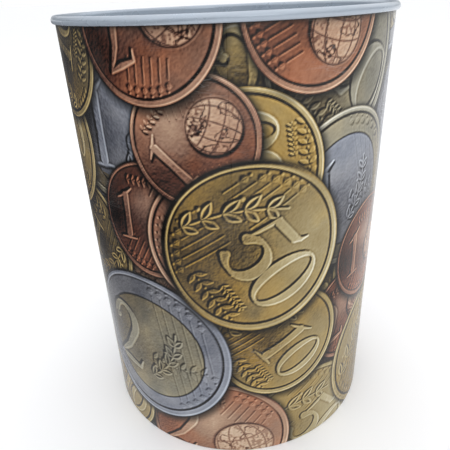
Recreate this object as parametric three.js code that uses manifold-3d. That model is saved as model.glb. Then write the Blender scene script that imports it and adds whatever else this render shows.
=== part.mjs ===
// Tin money box: a straight round tin of printed tinplate, closed at the top by a seamed-on end
// with a coin slot and at the bottom by a clinched-in base with a push-in stopper.
// Millimetres, +Z up. The origin is the centre of the circle that the tin stands on.
import * as THREE from "three";
import { mergeVertices } from "three/addons/utils/BufferGeometryUtils.js";
import Module from "manifold-3d";

// Driving dimensions
const bodyRadius = 50; // outside of the printed wall
const tinHeight = 137.5; // standing edge to the top of the rim
const sheet = 0.25; // tinplate of the wall and both ends
const play = 0.1; // clearance between two layers of a seam
const ringSides = 48; // facets round every turned piece

// Top seam: the end's edge and the wall's edge are hooked into each other
const seamHeight = 2.1;
const bodyHookLength = 1.15;
const endHookLength = 1.2;
const seamShoulder = 0.62; // radius over the top of the seam

// Top end
const panelDepth = 5.2; // rim down to the ring outside the raised middle
const panelStep = 0.7;
const raisedRadius = 38;
const grooveDepth = 1.4; // countersink groove below the panel
const grooveInner = 45.2;
const grooveOuter = 48.3;
const slotLength = 36;
const slotWidth = 5;
const slotLipDepth = 1.6;

// Base
const hemHeight = 3.2; // wall's lower edge, folded in and up
const baseRise = 5.4; // standing edge up to the base's outer ring
const baseStep = 0.9;
const baseStepRadius = 41;
const holeRadius = 19.3; // inside of the collar that the stopper plugs
const collarHeight = 2.2;

// Side seam: the wall's two edges lap at the back, one inside the other
const lapHalfAngle = 0.036;

// Stopper
const stopperFlangeRadius = 24;
const stopperFlangeBottom = 3.4;
const stopperPlugRadius = 18.9;
const stopperBeadRadius = 19.15;
const stopperPlugWall = 1.8;
const stopperPlugTop = 13.4;
const dishRadius = 15;
const dishDepth = 1.3;
const gripWidth = 4;
const gripProud = 0.9;

const wasm = await Module();
wasm.setup();

// Fillets a chain of corners [r, z, radius]; the first and last are plain ends.
function softened(corners, steps = 2) {
  const points = [];
  corners.forEach(([r, z, radius = 0], i) => {
    const here = new THREE.Vector2(r, z);
    if (radius === 0 || i === 0 || i === corners.length - 1) {
      points.push(here);
      return;
    }
    const before = new THREE.Vector2(...corners[i - 1]).sub(here).normalize();
    const after = new THREE.Vector2(...corners[i + 1]).sub(here).normalize();
    const half = Math.acos(THREE.MathUtils.clamp(before.dot(after), -1, 1)) / 2;
    const run = radius / Math.tan(half);
    const middle = before.clone().add(after).normalize().multiplyScalar(radius / Math.sin(half)).add(here);
    const start = here.clone().addScaledVector(before, run).sub(middle);
    const end = here.clone().addScaledVector(after, run).sub(middle);
    const sweep = Math.atan2(start.cross(end), start.dot(end));
    for (let k = 0; k <= steps; k += 1) {
      points.push(start.clone().rotateAround(new THREE.Vector2(), (sweep * k) / steps).add(middle));
    }
  });
  return points;
}

// Outline of a pressed sheet: its middle line pushed out half a thickness each way.
function sheetOutline(middleLine, thickness) {
  const sides = [[], []];
  middleLine.forEach((point, i) => {
    const last = middleLine[Math.max(i - 1, 0)];
    const next = middleLine[Math.min(i + 1, middleLine.length - 1)];
    const into = point.clone().sub(last).normalize();
    const out = next.clone().sub(point).normalize();
    if (i === 0) into.copy(out);
    if (i === middleLine.length - 1) out.copy(into);
    const along = into.clone().add(out).normalize();
    const reach = thickness / 2 / along.dot(into);
    const across = new THREE.Vector2(-along.y, along.x).multiplyScalar(reach);
    sides[0].push(point.clone().add(across));
    sides[1].push(point.clone().sub(across));
  });
  return [...sides[0], ...sides[1].reverse()];
}

// Turns an outline about Z. It closes on itself, or starts and ends on the axis.
function turned(outline, sides = ringSides) {
  const loop = outline.map((point) => point.clone());
  const onAxis = loop[0].x < 1e-6 && loop[loop.length - 1].x < 1e-6;
  if (!onAxis) loop.push(loop[0].clone());
  let area = 0;
  loop.forEach((point, i) => {
    area += point.cross(loop[(i + 1) % loop.length]);
  });
  if (area < 0) loop.reverse();
  return new THREE.LatheGeometry(loop, sides).rotateX(Math.PI / 2);
}

function asSolid(geometry) {
  const bare = geometry.clone();
  bare.deleteAttribute("normal");
  bare.deleteAttribute("uv");
  const merged = mergeVertices(bare, 1e-5);
  const vertProperties = new Float32Array(merged.attributes.position.array);
  const triVerts = new Uint32Array(merged.index.array);
  return new wasm.Manifold(new wasm.Mesh({ numProp: 3, vertProperties, triVerts }));
}

function asGeometry(solid) {
  const { vertProperties, triVerts } = solid.getMesh();
  const geometry = new THREE.BufferGeometry();
  geometry.setAttribute("position", new THREE.BufferAttribute(new Float32Array(vertProperties), 3));
  geometry.setIndex(new THREE.BufferAttribute(new Uint32Array(triVerts), 1));
  geometry.computeVertexNormals();
  return geometry;
}

function stadium(length, width) {
  const shape = new THREE.Shape();
  const straight = (length - width) / 2;
  shape.moveTo(-straight, -width / 2);
  shape.absarc(straight, 0, width / 2, -Math.PI / 2, Math.PI / 2, false);
  shape.absarc(-straight, 0, width / 2, Math.PI / 2, (3 * Math.PI) / 2, false);
  return shape;
}

function stadiumBlock(length, width, low, high) {
  const block = new THREE.ExtrudeGeometry(stadium(length, width), {
    depth: high - low,
    bevelEnabled: false,
    curveSegments: 8,
  });
  return asSolid(block.translate(0, 0, low));
}

// Middle lines of the layers in the two seams, from the wall outwards and inwards
const layer = sheet + play;
const wallLine = bodyRadius - sheet / 2;
const endTopLine = tinHeight - sheet / 2;
const bodyTopLine = endTopLine - layer;

function makeBodyWall() {
  const hemLine = wallLine - 2 * layer;
  const hookLine = wallLine + 2 * layer;
  const shell = turned(
    sheetOutline(
      softened([
        [hemLine, hemHeight],
        [hemLine, sheet / 2, 0.15],
        [wallLine, sheet / 2, 0.15],
        [wallLine, bodyTopLine, 0.25],
        [hookLine, bodyTopLine, 0.25],
        [hookLine, bodyTopLine - bodyHookLength],
      ]),
      sheet,
    ),
  );
  // The inner edge of the lap, a strip standing behind the wall at the back
  const outer = wallLine;
  const inner = bodyRadius - 2 * sheet;
  const middle = Math.PI / 2;
  const strip = new THREE.Shape();
  strip.absarc(0, 0, outer, middle - lapHalfAngle, middle + lapHalfAngle, false);
  strip.absarc(0, 0, inner, middle + lapHalfAngle, middle - lapHalfAngle, true);
  const low = baseRise + 1.2;
  const high = tinHeight - seamHeight - panelDepth;
  const lap = new THREE.ExtrudeGeometry(strip, { depth: high - low, bevelEnabled: false, curveSegments: 1 });
  lap.translate(0, 0, low);
  return asGeometry(asSolid(shell).add(asSolid(lap)));
}

function makeTopEnd() {
  const panel = tinHeight - panelDepth;
  const chuckLine = wallLine - layer;
  const outerLine = wallLine + 3 * layer;
  const endHookLine = wallLine + layer;
  const seamBottom = tinHeight - seamHeight + sheet / 2;
  const disc = turned(
    sheetOutline(
      softened([
        [0, panel + panelStep],
        [raisedRadius, panel + panelStep, 0.6],
        [raisedRadius + 1.4, panel, 0.6],
        [grooveInner - 0.6, panel, 0.5],
        [grooveInner, panel - grooveDepth, 0.5],
        [grooveOuter, panel - grooveDepth, 0.6],
        [chuckLine, tinHeight - seamHeight, 2],
        [chuckLine, endTopLine, 0.55],
        [outerLine, endTopLine, seamShoulder],
        [outerLine, seamBottom, 0.25],
        [endHookLine, seamBottom, 0.25],
        [endHookLine, seamBottom + endHookLength],
      ]),
      sheet,
    ),
  );
  const face = panel + panelStep + sheet / 2;
  const lip = stadiumBlock(slotLength + 2 * sheet, slotWidth + 2 * sheet, face - slotLipDepth, face - 0.02);
  const slot = stadiumBlock(slotLength, slotWidth, face - 5, face + 5);
  return asGeometry(asSolid(disc).add(lip).subtract(slot));
}

function makeBaseEnd() {
  const skirtLine = wallLine - layer;
  return turned(
    sheetOutline(
      softened([
        [skirtLine, sheet + play + 0.05],
        [skirtLine, baseRise, 1.1],
        [baseStepRadius + 1.6, baseRise, 0.6],
        [baseStepRadius, baseRise + baseStep, 0.6],
        [holeRadius + sheet / 2, baseRise + baseStep, 0.5],
        [holeRadius + sheet / 2, baseRise + baseStep + collarHeight],
      ]),
      sheet,
    ),
  );
}

function makeStopper() {
  const flangeTop = baseRise + baseStep - sheet / 2 - play;
  const beadBottom = baseRise + baseStep + collarHeight + 0.5;
  const bore = stopperPlugRadius - stopperPlugWall;
  const dishTop = stopperFlangeBottom + dishDepth;
  const corners = [
    [0, dishTop],
    [dishRadius - 1.2, dishTop, 0.8],
    [dishRadius, stopperFlangeBottom, 0.8],
    [stopperFlangeRadius, stopperFlangeBottom, 1.0],
    [stopperFlangeRadius, flangeTop, 0.6],
    [stopperPlugRadius, flangeTop],
    [stopperPlugRadius, beadBottom],
    [stopperBeadRadius, beadBottom + 0.8],
    [stopperBeadRadius - 1.0, stopperPlugTop],
    [bore, stopperPlugTop],
    [bore, flangeTop + 1.0, 0.6],
    [0, flangeTop + 1.0],
  ];
  const plug = asSolid(turned(softened(corners)));
  const reach = dishRadius - 1.8;
  const grip = new THREE.BoxGeometry(2 * reach, gripWidth, dishDepth + gripProud + 0.4);
  grip.translate(0, 0, (stopperFlangeBottom - gripProud + dishTop + 0.4) / 2);
  return asGeometry(plug.add(asSolid(grip)));
}

const finishes = {
  print: { color: 0xb08a5a, roughness: 0.35, metalness: 0.1 },
  whiteLacquer: { color: 0xb9c3cc, roughness: 0.3, metalness: 0.1 },
  tinplate: { color: 0xc9ccd0, roughness: 0.35, metalness: 1 },
  plastic: { color: 0x23262a, roughness: 0.5, metalness: 0 },
};

function piece(name, geometry, finish) {
  const mesh = new THREE.Mesh(geometry, new THREE.MeshStandardMaterial(finishes[finish]));
  mesh.name = name;
  return mesh;
}

const group = new THREE.Group();
group.add(piece("body_wall", makeBodyWall(), "print"));
group.add(piece("top_end", makeTopEnd(), "whiteLacquer"));
group.add(piece("base_end", makeBaseEnd(), "tinplate"));
group.add(piece("stopper", makeStopper(), "plastic"));

export default group;
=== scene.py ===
import math

import bpy
import numpy as np
from mathutils import Matrix, Vector


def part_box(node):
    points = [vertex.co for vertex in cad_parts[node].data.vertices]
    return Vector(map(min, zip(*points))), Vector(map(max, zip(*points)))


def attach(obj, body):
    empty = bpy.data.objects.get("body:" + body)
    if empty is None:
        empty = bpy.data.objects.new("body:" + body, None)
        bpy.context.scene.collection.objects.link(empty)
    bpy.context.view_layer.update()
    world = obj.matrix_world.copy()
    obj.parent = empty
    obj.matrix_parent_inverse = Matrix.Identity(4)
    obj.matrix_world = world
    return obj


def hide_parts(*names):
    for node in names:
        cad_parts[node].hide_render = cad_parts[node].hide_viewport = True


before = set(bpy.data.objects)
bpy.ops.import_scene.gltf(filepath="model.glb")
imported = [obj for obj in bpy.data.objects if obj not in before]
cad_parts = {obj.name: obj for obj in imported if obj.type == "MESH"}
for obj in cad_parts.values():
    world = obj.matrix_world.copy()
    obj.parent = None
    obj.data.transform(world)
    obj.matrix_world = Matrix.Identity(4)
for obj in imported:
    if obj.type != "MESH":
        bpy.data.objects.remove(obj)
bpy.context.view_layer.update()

# Sizes that the whole tin shares, in metres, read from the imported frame.
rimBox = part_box("top_end")
mm = 0.001
seamProud = 1.05 * mm  # how far the seam stands out from the wall
tin = {
    "rimRadius": rimBox[1][0],
    "wallRadius": rimBox[1][0] - seamProud,
    "top": rimBox[1][2],
    "seamHeight": 2.1 * mm,
    "sheet": 0.25 * mm,
}

# Print artwork. Sizes are in millimetres on the flat printed sheet: "around" runs to the right from the
# middle of the front, "up" from half the tin's height.
artwork = {
    "panels": 6,  # the wall is made in this many upright strips
    "panelColumns": 190,  # printed dots across one strip
    "oversample": 2,  # painted this many times finer than the mesh
    "halfLength": math.pi * tin["wallRadius"] / mm,
    "low": -0.5 * tin["top"] / mm,
    "high": 0.5 * tin["top"] / mm - 1.95,
    "ground": (30, 24, 18),
    "bareTin": (176, 182, 188),
    "margin": 0.9,  # bare strip left along the lap
    "crispness": 0.65,  # how strongly the artwork's edges are sharpened
    "sharpenReach": 0.45,
}
artwork["columns"] = artwork["panels"] * artwork["panelColumns"]
artwork["cell"] = 2 * artwork["halfLength"] / artwork["columns"]
artwork["rows"] = int(round((artwork["high"] - artwork["low"]) / artwork["cell"]))

# Ink colours for each metal, from deepest shadow to highlight. The second row is the warm tone.
inks = {
    "gold": (
        ((7, 6, 4), (64, 55, 38), (143, 124, 82), (177, 162, 122), (222, 214, 188)),
        ((8, 6, 3), (73, 57, 31), (160, 127, 60), (194, 162, 92), (228, 214, 168)),
    ),
    "copper": (
        ((9, 6, 5), (63, 40, 33), (136, 102, 84), (184, 152, 126), (232, 212, 186)),
        ((12, 6, 4), (75, 41, 30), (154, 96, 67), (192, 136, 104), (228, 194, 166)),
    ),
    "silver": (
        ((8, 9, 12), (58, 61, 71), (124, 128, 139), (164, 170, 180), (218, 223, 230)),
        ((10, 10, 12), (64, 64, 69), (132, 132, 136), (172, 174, 178), (220, 222, 226)),
    ),
    "brass": (
        ((8, 8, 6), (62, 58, 48), (129, 125, 109), (166, 162, 146), (218, 215, 204)),
        ((10, 8, 5), (72, 60, 40), (144, 130, 98), (176, 163, 130), (220, 212, 184)),
    ),
}


def smooth(low, high, value):
    t = np.clip((value - low) / (high - low), 0.0, 1.0)
    return t * t * (3.0 - 2.0 * t)


# Smooth noise from -1 to 1, which repeats after a period of random knots.
def noiseField(x, y, cell, seed, period=61):
    knots = np.random.RandomState(seed).rand(period, period).astype(np.float32) * 2.0 - 1.0
    gx, gy = x / cell, y / cell
    ix, iy = np.floor(gx).astype(int), np.floor(gy).astype(int)
    fx, fy = gx - ix, gy - iy
    fx, fy = fx * fx * (3 - 2 * fx), fy * fy * (3 - 2 * fy)
    ix, iy, jx, jy = ix % period, iy % period, (ix + 1) % period, (iy + 1) % period
    low = knots[iy, ix] * (1 - fx) + knots[iy, jx] * fx
    high = knots[jy, ix] * (1 - fx) + knots[jy, jx] * fx
    return low * (1 - fy) + high * fy


# Softens a field by running means, twice each way.
def blurred(field, reach):
    n = max(1, int(round(reach)))
    for axis in (0, 1):
        for _ in range(2):
            pads = [(n + 1, n) if a == axis else (0, 0) for a in (0, 1)]
            total = np.cumsum(np.pad(field, pads, mode="edge"), axis=axis, dtype=np.float64)
            ends = np.split(total, [2 * n + 1], axis=axis)[1]
            starts = np.split(total, [-2 * n - 1], axis=axis)[0]
            field = (ends - starts) / (2 * n + 1)
    return field.astype(np.float32)


# Struck shapes. Each returns a depth: negative inside the shape, in coin radii. A run is a stroke through
# points (x, y, half width).
def runDepth(x, y, run):
    best = np.full(x.shape, 9.0, dtype=np.float32)
    for (x0, y0, w0), (x1, y1, w1) in zip(run[:-1], run[1:]):
        dx, dy = x1 - x0, y1 - y0
        t = np.clip(((x - x0) * dx + (y - y0) * dy) / max(dx * dx + dy * dy, 1e-9), 0, 1)
        best = np.minimum(best, np.hypot(x - x0 - t * dx, y - y0 - t * dy) - (w0 + t * (w1 - w0)))
    return best


def arcRun(cx, cy, rx, ry, start, end, thin, thick, steps=14):
    run = []
    for k in range(steps + 1):
        a = math.radians(start + (end - start) * k / steps)
        side = abs(math.cos(a)) ** 1.3
        run.append((cx + rx * math.cos(a), cy + ry * math.sin(a), thin + (thick - thin) * side))
    return run


# Numerals one unit tall, with thick and thin strokes as an engraver cuts them.
numerals = {
    "0": [arcRun(0, 0, 0.205, 0.455, 0, 360, 0.020, 0.062, 30)],
    "1": [
        [(0.03, 0.34, 0.074), (0.035, -0.05, 0.064), (0.03, -0.40, 0.078)],
        [(-0.17, 0.27, 0.010), (0.02, 0.36, 0.040), (0.19, 0.49, 0.008)],
        [(-0.17, -0.49, 0.010), (0.03, -0.46, 0.034), (0.20, -0.46, 0.010)],
    ],
    "2": [
        arcRun(-0.01, 0.22, 0.20, 0.25, 165, -28, 0.03, 0.068),
        [(0.165, 0.10, 0.064), (0.02, -0.18, 0.05), (-0.20, -0.42, 0.03)],
        [(-0.21, -0.43, 0.03), (0.0, -0.43, 0.05), (0.22, -0.45, 0.03), (0.27, -0.33, 0.012)],
        [(-0.17, 0.22, 0.055), (-0.175, 0.21, 0.05)],
    ],
    "5": [
        [(-0.15, 0.37, 0.058), (0.14, 0.405, 0.056), (0.20, 0.46, 0.030), (0.23, 0.55, 0.008)],
        [(-0.18, 0.40, 0.030), (-0.225, 0.03, 0.020)],
        arcRun(-0.035, -0.19, 0.225, 0.265, 145, -128, 0.028, 0.082, 22),
        [(-0.20, -0.37, 0.060), (-0.215, -0.385, 0.050)],
    ],
}


# Works a shape out only where it can reach.
def patchDepth(x, y, cx, cy, reach, shape):
    near = (np.abs(x - cx) < reach) & (np.abs(y - cy) < reach)
    depth = np.full(x.shape, 1.0, dtype=np.float32)
    if near.any():
        depth[near] = shape(x[near] - cx, y[near] - cy)
    return depth


def numeralDepth(x, y, text, cx, cy, tall, stretch=1.0):
    depth = np.full(x.shape, 1.0, dtype=np.float32)
    step = 0.50 * tall * stretch
    for k, mark in enumerate(text):
        at = cx + (k - (len(text) - 1) / 2) * step

        def cut(px, py, mark=mark):
            px, py = px / (tall * stretch), py / tall
            return np.minimum.reduce([runDepth(px, py, run) for run in numerals[mark]]) * tall

        depth = np.minimum(depth, patchDepth(x, y, at, cy, 0.62 * tall, cut))
    return depth


def leafDepth(x, y, x0, y0, turn, length, width):
    c, s = math.cos(math.radians(turn)), math.sin(math.radians(turn))

    def cut(px, py):
        along, across = (px * c + py * s) / length, py * c - px * s
        inside = np.clip(along, 0.0, 1.0)
        edge = width * np.abs(np.sin(np.pi * inside)) ** 0.75 * (1.1 - 0.35 * inside)
        return np.where((along > 0) & (along < 1), np.abs(across) - edge, 1.0)

    return patchDepth(x, y, x0, y0, 1.1 * length, cut)


# Height of a struck shape, from 0 outside to 1 inside, over a bevel.
def raised(depth, bevel):
    return np.clip(0.5 - depth / bevel, 0.0, 1.0)


def glow(x, y, cx, cy, reach):
    return np.exp(-((x - cx) ** 2 + (y - cy) ** 2) / reach ** 2)


# A curved sprig of leaves and berries, which fills the struck side of a coin.
def sprig(x, y, start, end, bend, leaves, size):
    x0, y0 = start
    x1, y1 = end
    span = math.hypot(x1 - x0, y1 - y0)
    nx, ny = -(y1 - y0) / span, (x1 - x0) / span
    spots = []
    for k in range(leaves + 1):
        t = k / leaves
        lift = bend * math.sin(math.pi * t)
        spots.append((x0 + (x1 - x0) * t + nx * lift, y0 + (y1 - y0) * t + ny * lift, 0.012))
    height = 0.7 * raised(runDepth(x, y, spots), 0.02)
    for k in range(leaves):
        ax, ay, _ = spots[k]
        bx, by, _ = spots[k + 1]
        heading = math.degrees(math.atan2(by - ay, bx - ax))
        for side in (-1, 1):
            turn = heading + side * (38 + 7 * math.sin(2.3 * k))
            length = size * (1.0 - 0.35 * abs(k / leaves - 0.4)) * (1.0 if side > 0 else 0.85)
            depth = leafDepth(x, y, ax, ay, turn, length, 0.21 * size)
            vein = 1.0 - 0.8 * np.exp(-((depth + 0.17 * size) / 0.018) ** 2)
            height = np.maximum(height, raised(depth, 0.026) * vein)
        if k % 2:
            bx, by = ax + nx * 0.5 * size, ay + ny * 0.5 * size
            berry = patchDepth(x, y, bx, by, 0.06, lambda px, py: np.hypot(px, py) - 0.022)
            height = np.maximum(height, 0.9 * raised(berry, 0.03))
    return height


# Parallel struck lines, each ended by a lozenge and a bead.
def ruling(x, y, turn, offsets, inner, outer, both=True):
    c, s = math.cos(math.radians(turn)), math.sin(math.radians(turn))
    along, across = x * c + y * s, y * c - x * s
    height = np.zeros(x.shape, dtype=np.float32)
    for off in offsets:
        stop = math.sqrt(max(outer * outer - off * off, 0.0))
        reach = np.abs(along) if both else along
        near = np.abs(across - off)
        height = np.maximum(height, 0.32 * raised(np.maximum(near - 0.006, reach - stop + 0.07), 0.018)
                            * (reach > inner))
        lozenge = (near + np.abs(reach - stop)) * 0.72 - 0.026
        spokes = np.minimum(near, np.abs(reach - stop)) * 1.4
        height = np.maximum(height, 0.6 * raised(lozenge, 0.03) * (1 - 0.5 * np.exp(-(spokes / 0.012) ** 2)))
        bead = np.hypot(near, reach - stop - 0.075) - 0.014
        height = np.maximum(height, 0.5 * raised(bead, 0.02))
    return height


# A band of slanted leaves and dots, in place of an inscription.
def leafBand(x, y, cx, cy, length, tall, count, turn=0):
    c, s = math.cos(math.radians(turn)), math.sin(math.radians(turn))
    height = np.zeros(x.shape, dtype=np.float32)
    for k in range(count):
        at = (k - (count - 1) / 2) * length / count
        px, py = cx + at * c, cy + at * s
        for lean, up in ((62, 1), (-62, -1)):
            leaf = leafDepth(x, y, px, py, turn + lean, 0.62 * tall, 0.13 * tall)
            height = np.maximum(height, 0.55 * raised(leaf, 0.018))
        dot = patchDepth(x, y, px + 0.33 * tall * c, py + 0.33 * tall * s, 0.05,
                         lambda qx, qy: np.hypot(qx, qy) - 0.011)
        height = np.maximum(height, 0.5 * raised(dot, 0.016))
    return height


# A ball in low relief, engraved with thin ribs and belts and with the outlines of cloudy patches.
def medallion(x, y, cx, cy, radius, tilt, seed):
    px, py = (x - cx) / radius, (y - cy) / radius
    r = np.hypot(px, py)
    dome = np.sqrt(np.clip(1.0 - r * r, 0.0, 1.0))
    c, s = math.cos(math.radians(tilt)), math.sin(math.radians(tilt))
    qx, qy = px * c + py * s, py * c - px * s
    lines = np.exp(-((r - 0.97) / 0.05) ** 2)
    for k in range(-2, 3):
        rib = np.abs(qx - math.sin(math.radians(34 * k + 9)) * np.sqrt(np.clip(1 - qy * qy, 0, 1)))
        lines = np.maximum(lines, 0.8 * np.exp(-(rib / 0.026) ** 2))
    for k in (-1, 0, 1):
        belt = np.abs(qy * 0.93 - 0.5 * k + 0.28 * dome)
        lines = np.maximum(lines, 0.7 * np.exp(-(belt / 0.026) ** 2))
    warpX = noiseField(qx, qy, 0.31, seed) * 0.2
    warpY = noiseField(qx, qy, 0.27, seed + 1) * 0.2
    patch = noiseField(qx + warpX, qy + warpY, 0.40, seed + 2)
    fringe = noiseField(qx, qy, 0.07, seed + 3)
    lines = np.maximum(lines, np.exp(-((patch + 0.12 * fringe - 0.10) / 0.085) ** 2) * (r < 0.95))
    lines = np.maximum(lines, 0.45 * smooth(0.12, 0.3, patch) * smooth(0.1, 0.5, fringe))
    inside = raised((r - 1.0) * radius, 0.03)
    return inside * (0.30 + 0.30 * dome), inside, inside * lines


# How every coin is struck. Numbers are shares of the coin's own radius.
coinRelief = {
    "fieldEdge": 0.885,  # where the struck field ends
    "groove": 0.908,
    "rimFoot": 0.914,
    "rimHeight": 1.2,
    "flank": 0.026,  # width of the rim's outer slope
    "lean": 0.016,  # the rim's inner edge leans this far to one side
    "leanWay": (0.57, -0.82),  # around and up
    "core": 0.70,  # where the core of a two-metal coin ends
}

# How much each effect lightens or darkens the ink, from 0 for the deepest shadow to 1 for the highlight.
coinTone = {
    "middle": 0.50,
    "fan": 0.13,  # broad sheen across the face
    "cloud": 0.12,
    "grain": 0.03,
    "pale": 0.07,
    "patina": 0.24,
    "lit": 0.25,  # slopes that face the light
    "unlit": 0.42,
    "hollow": 0.6,
    "hollowReach": 0.45,  # reaches are in millimetres
    "cast": 0.45,
    "castReach": 0.5,
    "patinaReach": 2.0,
    "etched": 0.55,
    "raised": 0.12,
    "digits": 0.05,
    "rim": 0.06,
    "ball": 0.25,
    "groove": {"gold": 0.28, "copper": 0.11, "pair": 0.11, "pairOne": 0.11},
}

# The shadow that a coin throws on the coins under it, in millimetres.
coinShadow = {
    "drop": 0.62,
    "dropShift": (0.7, -1.1),
    "dropEdge": (2.6, -1.2),  # from where it begins to where it is full, outside the coin's edge
    "touch": 0.55,  # dark line where the coin touches
    "touchReach": 0.45,
    "reach": 4.0,
}


# Fades what comes close to a shape, so that it stands out.
def cleared(shape, reach):
    return np.clip(1 - blurred(shape, reach) * 3, 0, 1)


# The three struck faces, on a coin standing upright with a radius of one. Each gives its height, the part of
# it that stands clear of patina, where it shows a ball, and what is etched dark.
def goldFace(x, y, coin):
    lines = ruling(x, y, 90, [0.265 + 0.095 * k for k in range(6)], 0.12, 0.83)
    twig = sprig(x, y, (-0.66, -0.46), (-0.20, 0.56), 0.10, 5, 0.25)
    band = np.maximum(leafBand(x, y, 0.16, -0.68, 0.74, 0.23, 6), leafBand(x, y, 0.30, -0.50, 0.40, 0.11, 7))
    numeral = numeralDepth(x, y, coin["value"], 0.25, 0.07, 0.88, coin.get("stretch", 1.08))
    digits = 1.1 * raised(numeral, 0.022)
    height = np.maximum.reduce([lines * cleared(twig, 5), twig, band, digits])
    return height, np.maximum(digits, 0.8 * twig), 0.0, 0.0


def copperFace(x, y, coin):
    lines = ruling(x, y, 62, [-0.36 + 0.11 * k for k in range(6)], 0.40, 0.80)
    patchSeed = 40 + int(coin["radius"] * 7) % 30
    ball, inside, etched = medallion(x, y, 0.39, -0.07, 0.42, 24, patchSeed)
    clear = smooth(-0.66, -0.56, x) * (1 - inside)
    band = leafBand(x, y, -0.20, 0.66, 0.50, 0.15, 5)
    digits = 1.1 * raised(numeralDepth(x, y, coin["value"], -0.50, 0.06, 0.92, 0.95), 0.028)
    height = np.maximum.reduce([lines * clear, ball, band * (1 - inside), digits * (1 - inside)])
    return height, digits, inside, etched


def pairFace(x, y, coin):
    lines = ruling(x, y, 103, [-0.26 - 0.10 * k for k in range(6)], 0.0, 0.84)
    twig = sprig(x, y, (0.04, -0.40), (0.36, 0.34), -0.10, 5, 0.19)
    band = leafBand(x, y, 0.36, -0.13, 0.74, 0.2, 6)
    digits = 1.1 * raised(numeralDepth(x, y, coin["value"], -0.40, 0.0, 0.94, 1.0), 0.03)
    step = np.exp(-((np.hypot(x, y) - coinRelief["core"]) / 0.010) ** 2)
    lines = 0.8 * lines * cleared(np.maximum(twig, band), 4)
    height = np.maximum.reduce([lines, 0.8 * twig, 0.7 * band, digits])
    return height, digits, 0.0, step


# The ink of a metal for each tone, between its cool row and its warm one.
def inkColour(metal, tone, warm):
    cool, hot = (np.array(row, dtype=np.float32) for row in inks[metal])
    stops = np.linspace(0, 1, len(cool))
    mixed = np.empty(tone.shape + (3,), dtype=np.float32)
    for c in range(3):
        a = np.interp(tone, stops, cool[:, c])
        b = np.interp(tone, stops, hot[:, c])
        mixed[..., c] = a + (b - a) * warm
    return mixed


# Adds the raised rim to a struck face. Also gives the rim alone, and the distance from its leaning middle.
def rimmed(height, u, v, ring, coin):
    lean = coin["radius"] * coinRelief["lean"]
    leanU, leanV = coinRelief["leanWay"]
    within = np.hypot(u + leanU * lean, v + leanV * lean) / coin["radius"]
    flank = coin.get("flank", coinRelief["flank"])
    foot, edge = coinRelief["rimFoot"], coinRelief["fieldEdge"]
    rim = smooth(foot, foot + 0.02, within) * (1 - smooth(1.0 - flank, 1.0, ring))
    return height * (1 - smooth(edge, edge + 0.02, within)) + coinRelief["rimHeight"] * rim, rim, within


# Dark patina gathers round the struck shapes and in one spot of the face; a pale bloom lies in another.
def tarnish(x, y, struck, ring, rim, coin, cell):
    gathered = blurred(np.clip(struck, 0, 1) * (ring < 0.9), coinTone["patinaReach"] / cell)
    patina = np.clip(gathered * 2.4, 0, 1)
    patina = np.clip(patina + 0.8 * glow(x, y, -0.12, -0.10, 0.30), 0, 1) * (1 - np.clip(rim, 0, 1))
    pale = glow(x, y, 0.25, 0.45, 0.45)
    if coin["kind"] == "copper":
        patina = 0.35 * patina + 0.75 * glow(x, y, -0.80, -0.05, 0.36)
        pale = 3.0 * glow(x, y, -0.08, 0.28, 0.36)
    elif coin["kind"] != "gold":
        patina = 0.40 * patina + 0.85 * glow(x - coin.get("shift", (0.0, 0.0))[0], y, -0.74, -0.05, 0.34)
    return patina, pale


# Slopes lit from the coin's own side, dark hollows, and the short shadows that raised shapes cast.
def relievedTone(height, rough, etched, light, cell):
    slopeV, slopeU = np.gradient(height + rough, cell)
    shade = np.tanh(-(slopeU * math.cos(light) + slopeV * math.sin(light)))
    hollow = np.clip(blurred(height, coinTone["hollowReach"] / cell) - height, 0, 1)
    throw = [int(round(coinTone["castReach"] * part / cell)) for part in (math.sin(light), math.cos(light))]
    cast = np.clip(np.roll(height, (-throw[0], -throw[1]), axis=(0, 1)) - height, 0, 1)
    lit = np.where(shade > 0, coinTone["lit"], coinTone["unlit"]) * shade
    return lit - coinTone["hollow"] * hollow - coinTone["cast"] * cast - coinTone["etched"] * etched


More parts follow.
